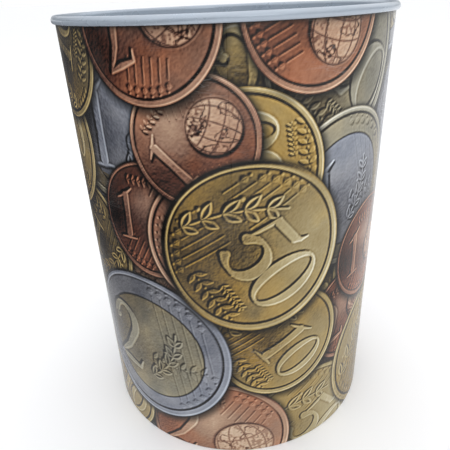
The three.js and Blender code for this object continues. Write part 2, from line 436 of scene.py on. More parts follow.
def coinColour(u, v, r, coin, cell):
    kind, radius = coin["kind"], coin["radius"]
    turn, light = math.radians(coin["turn"]), math.radians(coin["light"])
    x = (u * math.cos(turn) + v * math.sin(turn)) / radius
    y = (v * math.cos(turn) - u * math.sin(turn)) / radius
    ring = r / radius
    face = {"gold": goldFace, "copper": copperFace, "pair": pairFace, "pairOne": pairFace}[kind]
    shiftX, shiftY = coin.get("shift", (0.0, 0.0))
    height, digits, ball, etched = face(x - shiftX, y - shiftY, coin)
    height, rim, within = rimmed(height, u, v, ring, coin)
    grain = noiseField(u, v, 0.42, 5) * 0.6 + noiseField(u, v, 0.85, 6) * 0.55
    cloud = noiseField(u, v, 6.5, int(radius * 31) % 97) * 0.5 + noiseField(u, v, 2.6, 8) * 0.28
    patina, pale = tarnish(x, y, height - digits, ring, rim, coin, cell)
    sheen = math.radians(coin.get("sheen", coin["light"]))
    fan = np.cos(np.arctan2(v, u) - sheen) * smooth(0.0, 0.8, ring)
    tone = coinTone["middle"] + coinTone["fan"] * fan + coinTone["cloud"] * cloud + coinTone["grain"] * grain
    tone = tone + coinTone["pale"] * pale - coinTone["patina"] * patina * (1 + 0.8 * cloud)
    tone = tone + relievedTone(height, (0.04 + 0.11 * patina) * grain, etched, light, cell)
    tone = tone + coinTone["raised"] * np.clip(height - rim, 0, 1) + coinTone["rim"] * rim
    tone = tone + coinTone["digits"] * np.clip(digits, 0, 1) + coinTone["ball"] * ball
    tone = tone - coinTone["groove"][kind] * np.exp(-((within - coinRelief["groove"]) / 0.012) ** 2)
    tone = np.clip(0.5 + (tone - 0.5) * coin.get("contrast", 1.0) + coin.get("lift", 0.0), 0, 1)
    warm = 0.55 - 0.4 * fan + 0.6 * cloud + 0.3 * glow(x, y, -0.4, -0.5, 0.4) - 0.4 * pale
    plain = np.clip(rim + np.clip(digits, 0, 1) + ball, 0, 1)
    warm = np.clip(warm + coin.get("warm", 0.0), 0, 1) * (1 - 0.75 * plain)
    if kind in ("gold", "copper"):
        return inkColour(coin.get("metal", kind), tone, warm)
    inner, outer = ("brass", "silver") if kind == "pair" else ("silver", "brass")
    core = (1 - smooth(coinRelief["core"] - 0.005, coinRelief["core"] + 0.005, ring))[..., None]
    return inkColour(outer, tone, warm) * (1 - core) + inkColour(inner, tone, warm) * core


# Lays one coin on the sheet: its shadow first, then its face.
def layCoin(sheet, around, up, coin):
    cell = around[1] - around[0]
    radius = coin["radius"]
    reach = radius + coinShadow["reach"]
    cols = np.nonzero(np.abs(around - coin["around"]) < reach)[0]
    rows = np.nonzero(np.abs(up - coin["up"]) < reach)[0]
    if len(cols) < 4 or len(rows) < 4:
        return
    window = (slice(rows[0], rows[-1] + 1), slice(cols[0], cols[-1] + 1))
    u = (around[window[1]][None, :] - coin["around"]).astype(np.float32)
    v = (up[window[0]][:, None] - coin["up"]).astype(np.float32)
    u, v = np.broadcast_arrays(u, v)
    r = np.hypot(u, v)
    shiftU, shiftV = coinShadow["dropShift"]
    drop = smooth(*coinShadow["dropEdge"], np.hypot(u - shiftU, v - shiftV) - radius) * coinShadow["drop"]
    touch = np.exp(-np.clip(r - radius, 0, None) / coinShadow["touchReach"]) * coinShadow["touch"]
    under = sheet[window] * ((1 - drop) * (1 - touch))[..., None]
    cover = np.clip(0.5 - (r - radius) / cell, 0, 1)[..., None]
    sheet[window] = under * (1 - cover) + coinColour(u, v, r, coin, cell) * cover


# Turn and light are in degrees. The rest may set lift, warm and contrast of the tone, the shift of the struck
# face, the stretch of the numeral, the metal's ink, the flank of the rim and the way of the sheen.
def coinAt(kind, value, around, up, radius, turn, light, **more):
    return dict(kind=kind, value=value, around=around, up=up, radius=radius, turn=turn, light=light, **more)


# Coins on the front of the tin, from the lowest to the one on top.
# The coins on the left have a low lift: painted shade for the tin's shaded left side. The low coins' higher
# lift and lower contrast are partly a painted hazy reflection on the varnish.
frontCoins = [
    coinAt("pair", "2", 51.5, 75.5, 19, 159, 60, lift=0.10),
    coinAt("gold", "20", 4.5, 56.5, 20, 30, 100, lift=-0.06),
    coinAt("gold", "20", 29.5, 58.5, 22, -38, -40, lift=-0.10, metal="brass", contrast=0.9, stretch=1.7),
    coinAt("pairOne", "1", 34.5, 22.5, 23, 6, 120, lift=-0.01, warm=0.25),
    coinAt("pairOne", "1", -35.5, 47, 25, 0, 20, lift=-0.12, shift=(0.28, -0.16)),
    coinAt("gold", "50", 3.5, 32, 21.5, 97, 30, lift=-0.01, warm=0.5, shift=(0.0, -0.10)),
    coinAt("gold", "10", -53, 4, 20.5, 150, 40, lift=-0.23),
    coinAt("gold", "20", -65.5, 36, 22.5, 14, 10, lift=-0.18),
    coinAt("gold", "10", -53, 60.5, 17.5, 70, -20, lift=-0.23),
    coinAt("copper", "2", 41, -21, 18, 20, -40, lift=-0.09),
    coinAt("gold", "50", 25, -62.5, 25, -53, -40, lift=0.16, warm=-0.45, contrast=0.7),
    coinAt("gold", "20", 63.5, -45, 28.5, -20, 160, lift=-0.03, warm=-0.2, contrast=0.8),
    coinAt("copper", "2", -8.5, -62.5, 25.5, -8, -60, lift=0.12, contrast=0.8),
    coinAt("gold", "10", -51.5, -57, 18.5, -30, -30, lift=-0.04, warm=-0.2, contrast=0.8),
    coinAt("copper", "1", 50, -1, 17.5, 1, -20, lift=-0.08, warm=0.15),
    coinAt("copper", "1", -23, 18, 17.5, -2, -30, lift=-0.20, warm=0.2),
    coinAt("copper", "5", -3.5, 13, 21, 120, 200, lift=-0.15),
    coinAt("gold", "10", 13, -22.5, 20.5, -57, -50, lift=-0.02, warm=0.1, contrast=0.9),
    coinAt("pair", "2", -30.5, -29, 28.5, -4, -60, lift=-0.07, contrast=0.8),
    coinAt("copper", "1", -9, 40.5, 17, 47, 100, lift=-0.06, warm=0.1),
    coinAt("copper", "2", -19.5, 68, 19, 24, -30, lift=-0.15, warm=0.2),
    coinAt("copper", "5", 21.5, 69.5, 19, -36, -50, lift=-0.07, warm=0.35),
    coinAt("gold", "50", 5.5, 10, 26, -57, -42, lift=-0.03, flank=0.045, sheen=-10),
]


# Coins round the sides and back, scattered in staggered rows under the front ones.
scatter = {
    "seed": 11,
    "layers": 2,
    "columns": 13,
    "rows": 4,
    "step": (26.0, 41.0),  # from one coin to the next, around and up
    "first": (-156, -60),
    "stagger": 13.0,
    "layerRise": 18.0,
    "kinds": (("gold", "10"), ("copper", "1"), ("gold", "50"), ("pair", "2"), ("copper", "5"),
              ("pairOne", "1"), ("gold", "20"), ("copper", "2")),
    "radius": {"gold": 20.5, "copper": 17.5, "pair": 24.0, "pairOne": 22.0},
}


def scatteredCoins():
    rng = np.random.RandomState(scatter["seed"])
    made = []
    for layer, column, row in np.ndindex(scatter["layers"], scatter["columns"], scatter["rows"]):
        around = scatter["first"][0] + scatter["step"][0] * column + scatter["stagger"] * ((row + layer) % 2)
        around += rng.uniform(-4, 4)
        up = scatter["first"][1] + scatter["step"][1] * row + scatter["layerRise"] * layer
        up += rng.uniform(-5, 5)
        pick = (len(made) * 5 + row * 3 + rng.randint(3)) % len(scatter["kinds"])
        kind, value = scatter["kinds"][pick]
        radius = scatter["radius"][kind] * rng.uniform(0.92, 1.12)
        turn, light = rng.uniform(-180, 180), rng.uniform(-110, 20)
        made.append(coinAt(kind, value, around, up, radius, turn, light, lift=rng.uniform(-0.08, 0.10)))
    return made


# Paints the whole sheet finely, then averages it down to one colour for each corner of the wall mesh.
def printedSheet():
    fine = artwork["cell"] / artwork["oversample"]
    columns = artwork["columns"] * artwork["oversample"]
    rows = artwork["rows"] * artwork["oversample"]
    around = (np.arange(columns) + 0.5) * fine - artwork["halfLength"]
    up = (np.arange(rows) + 0.5) * fine + artwork["low"]
    sheet = np.empty((rows, columns, 3), dtype=np.float32)
    sheet[:] = artwork["ground"]
    for coin in scatteredCoins():
        layCoin(sheet, around, up, coin)
    for coin in frontCoins:
        layCoin(sheet, around, up, coin)
    edge = artwork["halfLength"] - artwork["margin"]
    bare = smooth(edge, edge + 0.2, np.abs(around))[None, :, None]
    for channel in range(3):
        ink = sheet[..., channel]
        ink += artwork["crispness"] * (ink - blurred(ink, artwork["sharpenReach"] / fine))
    # Painted shade: the print darkens just under the seam, where the seam's shadow falls.
    paintedSeamShade = 1 - 0.5 * np.exp(-(artwork["high"] - 0.4 - up) / 0.7)
    sheet = sheet * np.clip(paintedSeamShade, 0, 1)[:, None, None]
    sheet = sheet * (1 - bare) + np.array(artwork["bareTin"], dtype=np.float32) * bare
    padded = np.pad(np.clip(sheet, 0, 255), ((1, 1), (1, 1), (0, 0)), mode="edge") / 255.0
    corners = padded[0::2, 0::2] + padded[1::2, 0::2] + padded[0::2, 1::2] + padded[1::2, 1::2]
    return np.clip(corners / 4, 0, 1)


# Turns display colours into the linear ones that materials use.
def linear(colour):
    colour = np.asarray(colour, dtype=np.float64)
    return np.where(colour <= 0.04045, colour / 12.92, ((colour + 0.055) / 1.055) ** 2.4)


# Mesh making. Points are in millimetres until a mesh is made of them.
def gridFaces(rows, columns, wrapRows, wrapColumns):
    i, j = np.meshgrid(
        np.arange(rows if wrapRows else rows - 1),
        np.arange(columns if wrapColumns else columns - 1),
        indexing="ij",
    )
    i2 = (i + 1) % rows
    j2 = (j + 1) % columns
    corners = (i * columns + j, i * columns + j2, i2 * columns + j2, i2 * columns + j)
    return np.stack(corners, axis=-1).reshape(-1, 4)


# Caps are the faces with more or fewer than four corners. Slots are the numbers of the piece's materials.
def makeMesh(name, points, quads, caps=(), quadSlot=0, capSlot=0, quadSmooth=True, capSmooth=False):
    mesh = bpy.data.meshes.new(name)
    points = np.asarray(points, dtype=np.float64) * mm
    caps = [np.asarray(cap) for cap in caps]
    counts = np.concatenate([np.full(len(quads), 4), [len(cap) for cap in caps]]).astype(np.int32)
    loops = np.concatenate([quads.ravel()] + caps).astype(np.int32)
    starts = np.concatenate([[0], np.cumsum(counts)[:-1]]).astype(np.int32)
    mesh.vertices.add(len(points))
    mesh.vertices.foreach_set("co", points.astype(np.float32).ravel())
    mesh.loops.add(len(loops))
    mesh.loops.foreach_set("vertex_index", loops)
    mesh.polygons.add(len(counts))
    mesh.polygons.foreach_set("loop_start", starts)
    slots = np.full(len(counts), capSlot, dtype=np.int32)
    slots[:len(quads)] = quadSlot
    shading = np.full(len(counts), capSmooth, dtype=bool)
    shading[:len(quads)] = quadSmooth
    mesh.polygons.foreach_set("material_index", slots)
    mesh.polygons.foreach_set("use_smooth", shading)
    mesh.update(calc_edges=True)
    mesh.validate()
    return mesh


def addPiece(mesh, materials, slot, body, *nodes):
    piece = bpy.data.objects.new(mesh.name, mesh)
    bpy.context.scene.collection.objects.link(piece)
    for material in materials:
        mesh.materials.append(material)
    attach(piece, body)
    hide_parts(*nodes)


# Rounds each inner corner of an outline. A point is (radius, height) or (radius, height, rounding).
def roundedOutline(points, closed=True, steps=4):
    made = []
    count = len(points)
    for k, point in enumerate(points):
        here = np.array(point[:2], dtype=float)
        rounding = point[2] if len(point) > 2 else 0
        if not rounding or (not closed and k in (0, count - 1)):
            made.append(here)
            continue
        before = np.array(points[k - 1][:2], dtype=float) - here
        after = np.array(points[(k + 1) % count][:2], dtype=float) - here
        start = before / np.linalg.norm(before) * min(rounding, 0.49 * np.linalg.norm(before))
        end = after / np.linalg.norm(after) * min(rounding, 0.49 * np.linalg.norm(after))
        for s in range(steps + 1):
            t = s / steps
            made.append(here + start * (1 - t) ** 2 + end * t ** 2)
    return np.array(made)


# Turns an outline about the tin's axis. Outlines run so that the metal lies on their left.
def turnedGrid(outline, columns):
    angles = np.arange(columns) / columns * 2 * math.pi
    radius = outline[:, 0][:, None]
    x = radius * np.cos(angles)[None, :]
    y = radius * np.sin(angles)[None, :]
    z = np.broadcast_to(outline[:, 1][:, None], x.shape)
    return np.stack([x, y, z], axis=-1)


def turnedMesh(name, outline, columns):
    grid = turnedGrid(outline, columns)
    quads = gridFaces(len(outline), columns, True, True)
    return makeMesh(name, grid.reshape(-1, 3), quads)


# A solid turned piece whose outline starts and ends on the axis.
def turnedSolid(name, outline, columns):
    inner = outline[1:-1]
    grid = turnedGrid(inner, columns).reshape(-1, 3)
    points = np.concatenate([grid, [[0, 0, outline[0][1]], [0, 0, outline[-1][1]]]])
    quads = gridFaces(len(inner), columns, False, True)
    first = len(grid)
    last = (len(inner) - 1) * columns
    fans = []
    for k in range(columns):
        n = (k + 1) % columns
        fans.append([first, n, k])
        fans.append([first + 1, last + k, last + n])
    return makeMesh(name, points, quads, fans, capSmooth=True)


# Node helpers.
def addNode(tree, kind, **settings):
    node = tree.nodes.new(kind)
    for name, value in settings.items():
        setattr(node, name, value)
    return node


# Spaces in a socket's name are written as underscores.
def setInputs(node, **values):
    for name, value in values.items():
        node.inputs[name.replace("_", " ")].default_value = value
    return node


def mathNode(tree, operation, first, second=None, clamp=False):
    node = addNode(tree, "ShaderNodeMath", operation=operation, use_clamp=clamp)
    for socket, value in zip(node.inputs, (first, second)):
        if value is None:
            continue
        if isinstance(value, (int, float)):
            socket.default_value = value
        else:
            tree.links.new(value, socket)
    return node.outputs[0]


def scaled(tree, value, factor):
    return mathNode(tree, "MULTIPLY", value, factor)


def noiseNode(tree, coordinates, scale, detail=3.0, roughness=0.5):
    node = addNode(tree, "ShaderNodeTexNoise")
    setInputs(node, Detail=detail, Roughness=roughness)
    if isinstance(scale, (int, float)):
        node.inputs["Scale"].default_value = scale
    else:
        tree.links.new(scale, node.inputs["Scale"])
    tree.links.new(coordinates, node.inputs["Vector"])
    return node.outputs["Fac"]


def rangeNode(tree, value, fromLow, fromHigh, toLow=0.0, toHigh=1.0):
    node = addNode(tree, "ShaderNodeMapRange", clamp=True)
    tree.links.new(value, node.inputs[0])
    for socket, number in zip(list(node.inputs)[1:5], (fromLow, fromHigh, toLow, toHigh)):
        socket.default_value = number
    return node.outputs[0]


def mixColour(tree, amount, first, second):
    node = addNode(tree, "ShaderNodeMix", data_type="RGBA")
    for name, value in (("Factor", amount), ("A", first), ("B", second)):
        socket = [s for s in node.inputs if s.name == name and s.enabled][0]
        if isinstance(value, (int, float)):
            socket.default_value = value
        elif isinstance(value, tuple):
            socket.default_value = (*value, 1.0)
        else:
            tree.links.new(value, socket)
    return [s for s in node.outputs if s.enabled][0]


def newGroup(name, inputs, outputs):
    group = bpy.data.node_groups.new(name, "ShaderNodeTree")
    for label, default in inputs:
        socket = group.interface.new_socket(label, in_out="INPUT", socket_type="NodeSocketFloat")
        socket.default_value = default
    for label in outputs:
        group.interface.new_socket(label, in_out="OUTPUT", socket_type="NodeSocketFloat")
    entry = group.nodes.new("NodeGroupInput")
    leave = group.nodes.new("NodeGroupOutput")
    return group, entry, leave


# Fine grain of lacquer, rolled sheet or moulded plastic, with slow waves under it.
def buildGrain():
    group, entry, leave = newGroup(
        "grain", [("Grain Scale", 2500.0), ("Wave Scale", 60.0), ("Wave Share", 0.5)], ["Grain", "Height"]
    )
    place = addNode(group, "ShaderNodeTexCoord").outputs["Object"]
    fine = noiseNode(group, place, entry.outputs["Grain Scale"], 4.0, 0.6)
    slow = noiseNode(group, place, entry.outputs["Wave Scale"], 2.0, 0.45)
    waves = scaled(group, slow, entry.outputs["Wave Share"])
    grains = scaled(group, fine, mathNode(group, "SUBTRACT", 1.0, entry.outputs["Wave Share"]))
    group.links.new(fine, leave.inputs["Grain"])
    group.links.new(mathNode(group, "ADD", waves, grains), leave.inputs["Height"])
    return group


# Thin scuffs left by handling: sparse streaks, and rubbed patches where they gather.
def buildScuffs():
    group, entry, leave = newGroup("scuffs", [("Scale", 90.0), ("Amount", 0.3)], ["Scuffs", "Rubbed"])
    place = addNode(group, "ShaderNodeTexCoord").outputs["Object"]
    streaks = None
    for turn, squeeze in ((0.5, 14.0), (-0.9, 11.0), (1.5, 17.0)):
        mapping = addNode(group, "ShaderNodeMapping")
        mapping.inputs["Rotation"].default_value = (turn, turn * 0.7, turn)
        mapping.inputs["Scale"].default_value = (1.0, 1.0, squeeze)
        group.links.new(place, mapping.inputs["Vector"])
        lines = noiseNode(group, mapping.outputs["Vector"], entry.outputs["Scale"], 1.0, 0.3)
        offMiddle = mathNode(group, "ABSOLUTE", mathNode(group, "SUBTRACT", lines, 0.5))
        thin = rangeNode(group, offMiddle, 0.0, 0.012, 1.0, 0.0)
        streaks = thin if streaks is None else mathNode(group, "MAXIMUM", streaks, thin)
    patches = rangeNode(group, noiseNode(group, place, 38.0, 4.0, 0.6), 0.48, 0.74)
    rubbed = scaled(group, patches, entry.outputs["Amount"])
    group.links.new(scaled(group, streaks, rubbed), leave.inputs["Scuffs"])
    group.links.new(rubbed, leave.inputs["Rubbed"])
    return group


# Light dust: a thin even film, thicker where the surface faces up and in blotches.
def buildDust():
    group, entry, leave = newGroup("dust", [("Film", 0.05), ("Settled", 0.3)], ["Dust"])
    place = addNode(group, "ShaderNodeTexCoord").outputs["Object"]
    facing = addNode(group, "ShaderNodeSeparateXYZ")
    group.links.new(addNode(group, "ShaderNodeNewGeometry").outputs["Normal"], facing.inputs[0])
    upward = rangeNode(group, facing.outputs["Z"], 0.25, 0.95)
    blotch = rangeNode(group, noiseNode(group, place, 95.0, 6.0, 0.65), 0.36, 0.70)
    specks = rangeNode(group, noiseNode(group, place, 1900.0, 2.0, 0.5), 0.70, 0.78)
    settled = scaled(group, scaled(group, upward, blotch), entry.outputs["Settled"])
    film = scaled(group, mathNode(group, "ADD", scaled(group, blotch, 0.6), specks), entry.outputs["Film"])
    group.links.new(mathNode(group, "ADD", film, settled, clamp=True), leave.inputs["Dust"])
    return group


grainGroup = buildGrain()
scuffGroup = buildScuffs()
dustGroup = buildDust()


# Places the three wear effects with a finish's own values, and gives what they put out.
def placeWear(tree, finish):
    made = []
    for group, name in ((grainGroup, "grain"), (scuffGroup, "scuffs"), (dustGroup, "dust")):
        node = addNode(tree, "ShaderNodeGroup", node_tree=group)
        made.append(setInputs(node, **finish[name]).outputs)
    grain, scuffs, dust = made
    return grain, scuffs, dust["Dust"]


def newMaterial(name):
    material = bpy.data.materials.new(name)
    material.use_nodes = True
    tree = material.node_tree
    tree.nodes.clear()
    shader = addNode(tree, "ShaderNodeBsdfPrincipled")
    output = addNode(tree, "ShaderNodeOutputMaterial")
    tree.links.new(shader.outputs[0], output.inputs["Surface"])
    return material, tree, shader


def addBump(tree, shader, height, strength, distance):
    bump = addNode(tree, "ShaderNodeBump")
    setInputs(bump, Strength=strength, Distance=distance)
    tree.links.new(height, bump.inputs["Height"])
    tree.links.new(bump.outputs["Normal"], shader.inputs["Normal"])


# Lithographed coin picture under gloss varnish. Pairs are for clean and for worn or dusty places.
varnish = {
    "grain": {"Grain_Scale": 2600.0, "Wave_Scale": 42.0, "Wave_Share": 0.93},
    "scuffs": {"Scale": 70.0, "Amount": 0.45},
    "dust": {"Film": 0.05, "Settled": 0.3},
    "speckTone": (0.02, 0.016, 0.012),
    "scuffTone": (0.55, 0.53, 0.50),
    "dustTone": (0.60, 0.58, 0.54),
    "roughness": (0.22, 0.45),
    "coat": (0.08, 0.02),
    "coatRoughness": 0.08,
    "specular": 0.16,
    "wave": 0.00012,  # how far the sheet's slow dents stand, in metres
}


def varnishedPrint():
    material, tree, shader = newMaterial("varnishedPrint")
    picture = addNode(tree, "ShaderNodeAttribute", attribute_name="print").outputs["Color"]
    grain, scuffs, dust = placeWear(tree, varnish)
    specks = rangeNode(tree, grain["Grain"], 0.3, 0.7, 0.0, 0.07)
    speckled = mixColour(tree, specks, picture, varnish["speckTone"])
    scuffed = mixColour(tree, scaled(tree, scuffs["Scuffs"], 0.5), speckled, varnish["scuffTone"])
    dusted = mixColour(tree, dust, scuffed, varnish["dustTone"])
    tree.links.new(dusted, shader.inputs["Base Color"])
    worn = mathNode(tree, "ADD", scuffs["Rubbed"], dust, clamp=True)
    tree.links.new(rangeNode(tree, worn, 0.0, 1.0, *varnish["roughness"]), shader.inputs["Roughness"])
    tree.links.new(rangeNode(tree, worn, 0.0, 1.0, *varnish["coat"]), shader.inputs["Coat Weight"])
    setInputs(shader, Coat_Roughness=varnish["coatRoughness"], Specular_IOR_Level=varnish["specular"])
    addBump(tree, shader, grain["Height"], 0.35, varnish["wave"])
    return material


# White stoving lacquer on the top end and its seam.
lacquer = {
    "grain": {"Grain_Scale": 2200.0, "Wave_Scale": 110.0, "Wave_Share": 0.75},
    "scuffs": {"Scale": 120.0, "Amount": 0.4},
    "dust": {"Film": 0.04, "Settled": 0.22},
    "white": (0.40, 0.455, 0.52),
    "shade": (0.34, 0.395, 0.465),
    "scuffTone": (0.30, 0.32, 0.35),
    "dustTone": (0.42, 0.40, 0.36),
    "roughness": (0.27, 0.55),
    "metallic": 0.3,
    "coat": 0.3,
    "coatRoughness": 0.12,
    "wave": 0.00005,
}


def whiteLacquer():
    material, tree, shader = newMaterial("whiteLacquer")
    place = addNode(tree, "ShaderNodeTexCoord").outputs["Object"]
    grain, scuffs, dust = placeWear(tree, lacquer)
    cloudy = rangeNode(tree, noiseNode(tree, place, 55.0, 4.0, 0.55), 0.35, 0.7)
    base = mixColour(tree, scaled(tree, cloudy, 0.55), lacquer["white"], lacquer["shade"])
    marked = mixColour(tree, scaled(tree, scuffs["Scuffs"], 0.8), base, lacquer["scuffTone"])
    dusted = mixColour(tree, dust, marked, lacquer["dustTone"])
    tree.links.new(dusted, shader.inputs["Base Color"])
    worn = mathNode(tree, "ADD", scuffs["Rubbed"], dust, clamp=True)
    tree.links.new(rangeNode(tree, worn, 0.0, 1.0, *lacquer["roughness"]), shader.inputs["Roughness"])
    setInputs(shader, Metallic=lacquer["metallic"], Coat_Weight=lacquer["coat"])
    setInputs(shader, Coat_Roughness=lacquer["coatRoughness"])
    addBump(tree, shader, grain["Height"], 0.22, lacquer["wave"])
    return material


# Bare tinplate: bright steel sheet with rolling lines, smudges and pale tin bloom.
tinplate = {
    "grain": {"Grain_Scale": 1500.0, "Wave_Scale": 70.0, "Wave_Share": 0.6},
    "scuffs": {"Scale": 80.0, "Amount": 0.8},
    "dust": {"Film": 0.05, "Settled": 0.35},
    "steel": (0.66, 0.66, 0.65),
    "bloom": (0.49, 0.49, 0.50),
    "line": (0.80, 0.80, 0.78),
    "dustTone": (0.40, 0.38, 0.34),
    "roughness": (0.24, 0.5),
    "metallic": (1.0, 0.35),
    "rollScale": 2400.0,
    "rollStretch": 0.06,
    "wave": 0.00005,
}


def bareTinplate():
    material, tree, shader = newMaterial("bareTinplate")
    place = addNode(tree, "ShaderNodeTexCoord").outputs["Object"]
    grain, scuffs, dust = placeWear(tree, tinplate)
    stretch = addNode(tree, "ShaderNodeMapping")
    stretch.inputs["Scale"].default_value = (tinplate["rollStretch"], 1.0, 1.0)
    tree.links.new(place, stretch.inputs["Vector"])
    rolled = noiseNode(tree, stretch.outputs["Vector"], tinplate["rollScale"], 3.0, 0.6)
    bloom = rangeNode(tree, noiseNode(tree, place, 32.0, 5.0, 0.6), 0.42, 0.72)
    base = mixColour(tree, scaled(tree, bloom, 0.6), tinplate["steel"], tinplate["bloom"])
    lined = mixColour(tree, rangeNode(tree, rolled, 0.35, 0.7, 0.0, 0.25), base, tinplate["line"])
    dusted = mixColour(tree, dust, lined, tinplate["dustTone"])
    tree.links.new(dusted, shader.inputs["Base Color"])
    tree.links.new(rangeNode(tree, dust, 0.0, 0.6, *tinplate["metallic"]), shader.inputs["Metallic"])
    worn = mathNode(tree, "ADD", scuffs["Rubbed"], scaled(tree, bloom, 0.4), clamp=True)
    tree.links.new(rangeNode(tree, worn, 0.0, 1.0, *tinplate["roughness"]), shader.inputs["Roughness"])
    height = mathNode(tree, "ADD", grain["Height"], scaled(tree, rolled, 0.3))
    addBump(tree, shader, height, 0.3, tinplate["wave"])
    return material


# Moulded soft plastic with a spark-eroded texture and scuffs.
plastic = {
    "grain": {"Grain_Scale": 1700.0, "Wave_Scale": 160.0, "Wave_Share": 0.25},
    "scuffs": {"Scale": 140.0, "Amount": 0.7},
    "dust": {"Film": 0.08, "Settled": 0.2},
    "dark": (0.020, 0.020, 0.023),
    "flow": (0.034, 0.034, 0.037),
    "scuffTone": (0.16, 0.16, 0.16),
    "dustTone": (0.30, 0.29, 0.27),
    "roughness": (0.42, 0.60),
    "texture": 0.00012,
}


def stopperPlastic():
    material, tree, shader = newMaterial("stopperPlastic")
    place = addNode(tree, "ShaderNodeTexCoord").outputs["Object"]
    grain, scuffs, dust = placeWear(tree, plastic)
    flow = rangeNode(tree, noiseNode(tree, place, 120.0, 3.0, 0.5), 0.4, 0.7)
    base = mixColour(tree, flow, plastic["dark"], plastic["flow"])
    marked = mixColour(tree, scaled(tree, scuffs["Scuffs"], 0.7), base, plastic["scuffTone"])
    dusted = mixColour(tree, dust, marked, plastic["dustTone"])
    tree.links.new(dusted, shader.inputs["Base Color"])
    roughness = rangeNode(tree, grain["Grain"], 0.3, 0.7, *plastic["roughness"])
    tree.links.new(roughness, shader.inputs["Roughness"])
    addBump(tree, shader, grain["Height"], 0.5, plastic["texture"])
    return material


printMaterial = varnishedPrint()
lacquerMaterial = whiteLacquer()
tinplateMaterial = bareTinplate()
plasticMaterial = stopperPlastic()
print("materials made")

# The printed wall, in upright strips so that each keeps a fine mesh.
wall = {
    "outer": tin["wallRadius"] / mm,
    "sheet": tin["sheet"] / mm,
    "lapStep": 0.12,  # the overlapping edge stands this far out at the lap
    "lapWidth": 4.0,
    "lapSlope": 1.2,
    "fold": 0.3,  # rounding where the sheet turns in at the bottom
}


def makeWall():
    corners = linear(printedSheet())
    print("artwork painted", corners.shape)
    cell = artwork["cell"]
    outer = wall["outer"]
    inner = outer - wall["sheet"]
    # The section runs up the outside, a row of the mesh for each row of the artwork, and down the inside.
    foldIn = [(outer - 0.60, 0.0), (outer - 0.30, 0.02), (outer - 0.10, 0.10), (outer, wall["fold"])]
    rows = np.arange(2, artwork["rows"] + 1)
    section = foldIn + [(outer, k * cell) for k in rows]
    top = section[-1][1]
    section += [(inner, top), (inner, 0.42), (inner - 0.08, 0.29), (outer - 0.60, wall["sheet"])]
    section = np.array(section)
    sheetRow = np.concatenate([[0, 0, 0, 1], rows])  # the artwork's row at each outside point
    count = artwork["panelColumns"] + 1
    quads = gridFaces(len(section), count, True, False)
    band = np.repeat(np.arange(len(section)), count - 1)
    outside = band < len(sheetRow) - 1
    for panel in range(artwork["panels"]):
        columns = np.arange(count) + panel * artwork["panelColumns"]
        around = columns * cell - artwork["halfLength"]
        angle = around / outer - math.pi / 2
        lapStart = artwork["halfLength"] - wall["lapWidth"]
        step = wall["lapStep"] * smooth(lapStart, lapStart + wall["lapSlope"], around)
        radius = section[:, 0][:, None] + step[None, :]
        x = radius * np.cos(angle)[None, :]
        y = radius * np.sin(angle)[None, :]
        z = np.broadcast_to(section[:, 1][:, None], x.shape)
        points = np.stack([x, y, z], axis=-1).reshape(-1, 3)
        left = np.arange(len(section)) * count
        sides = [left, (left + count - 1)[::-1]]
        mesh = makeMesh(f"wall_panel_{panel + 1}", points, quads, sides, np.where(outside, 0, 1), 1, outside)
        colours = np.ones((len(points), 4), dtype=np.float32)
        shown = corners[sheetRow][:, columns].reshape(-1, 3)
        colours[:len(shown), :3] = shown
        colours[len(shown):, :3] = 0.4  # not seen: the inside is bare tinplate
        layer = mesh.color_attributes.new("print", "FLOAT_COLOR", "POINT")
        layer.data.foreach_set("color", colours.ravel())
        addPiece(mesh, [printMaterial, tinplateMaterial], "printed_wall", "tin", "body_wall")
    print("wall made")


# The wall's lower edge, folded in and up as a hem.
hem = {
    "height": 3.2,
    "inner": wall["outer"] - 0.95,
    "foot": wall["outer"] - 0.55,  # where the hem meets the wall's own fold
    "columns": 288,
}


def makeHem():
    inner, foot, high = hem["inner"], hem["foot"], hem["height"]
    outer = inner + wall["sheet"]
    outline = roundedOutline([
        (foot, 0.02), (inner, 0.04, 0.3), (inner, high, 0.12), (outer, high, 0.12), (outer, 0.27, 0.1),
        (foot, 0.24),
    ])
    mesh = turnedMesh("wall_hem", outline[::-1], hem["columns"])
    addPiece(mesh, [tinplateMaterial], "bare_tinplate", "tin", "body_wall")


# The top end: a coin slot in a stepped panel, a groove, the chuck wall and the rolled seam.
topEnd = {
    "slotLength": 36.0,
    "slotWidth": 5.0,
    "slotInset": (0.0, 0.07, 0.25, 0.55),  # the slot's rounded edge, from its wall out to the panel
    "slotDrop": (0.55, 0.25, 0.07, 0.0),
    "lip": 1.6,  # depth of the turned-down edge of the slot
    "flatRings": 10,
    "panel": tin["top"] / mm - 4.375,
    "ring": tin["top"] / mm - 5.075,
    "groove": tin["top"] / mm - 6.475,
    "raisedRadius": 38.0,
    "grooveInner": 45.2,
    "grooveOuter": 48.3,
    "chuck": 49.4,
    "columns": 384,
}


# One quarter of the slot's edge at a time, so that its points keep step with the circles outside it.
def slotEdge(offset):
    half = topEnd["slotWidth"] / 2 + offset
    straight = (topEnd["slotLength"] - topEnd["slotWidth"]) / 2
    arc = half * math.pi / 2
    quarter = topEnd["columns"] // 4
    points = []
    for k in range(topEnd["columns"]):
        part, step = divmod(k, quarter)
        walk = step / quarter if part % 2 == 0 else 1 - step / quarter
        length = walk * (arc + straight)
        if length <= arc:
            a = length / half
            x, y = straight + half * math.cos(a), half * math.sin(a)
        else:
            x, y = straight - (length - arc), half
        points.append((x if part in (0, 3) else -x, y if part in (0, 1) else -y))
    return np.array(points)


def slotRow(offset, z):
    edge = slotEdge(offset)
    return np.column_stack([edge, np.full(len(edge), z)])


